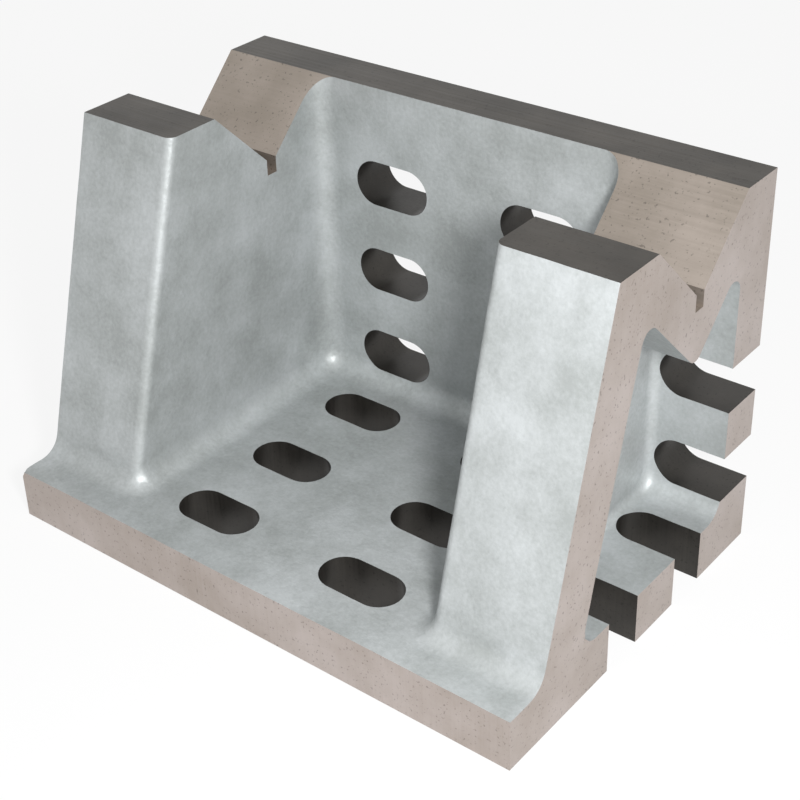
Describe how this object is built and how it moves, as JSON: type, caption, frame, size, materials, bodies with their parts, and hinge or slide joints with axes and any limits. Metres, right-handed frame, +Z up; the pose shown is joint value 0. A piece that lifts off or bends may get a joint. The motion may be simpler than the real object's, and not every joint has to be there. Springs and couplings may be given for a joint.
{
  "type": "angle plate",
  "caption": "Cast right-angle plate for clamping work, with slotted base and back plate, two end webs with open pockets and a vee groove across the top of the webs.",
  "frame": {"origin": "middle of the underside, which lies at Z = 0", "axes": "+Z up, +X along the length, +Y from the open front towards the back plate"},
  "size_m": [0.225, 0.15, 0.148],
  "materials": {
    "casting": "silver-grey painted cast skin, bare ground faces"
  },
  "bodies": {
    "root": {"angle_plate": "casting"}
  },
  "joints": []
}
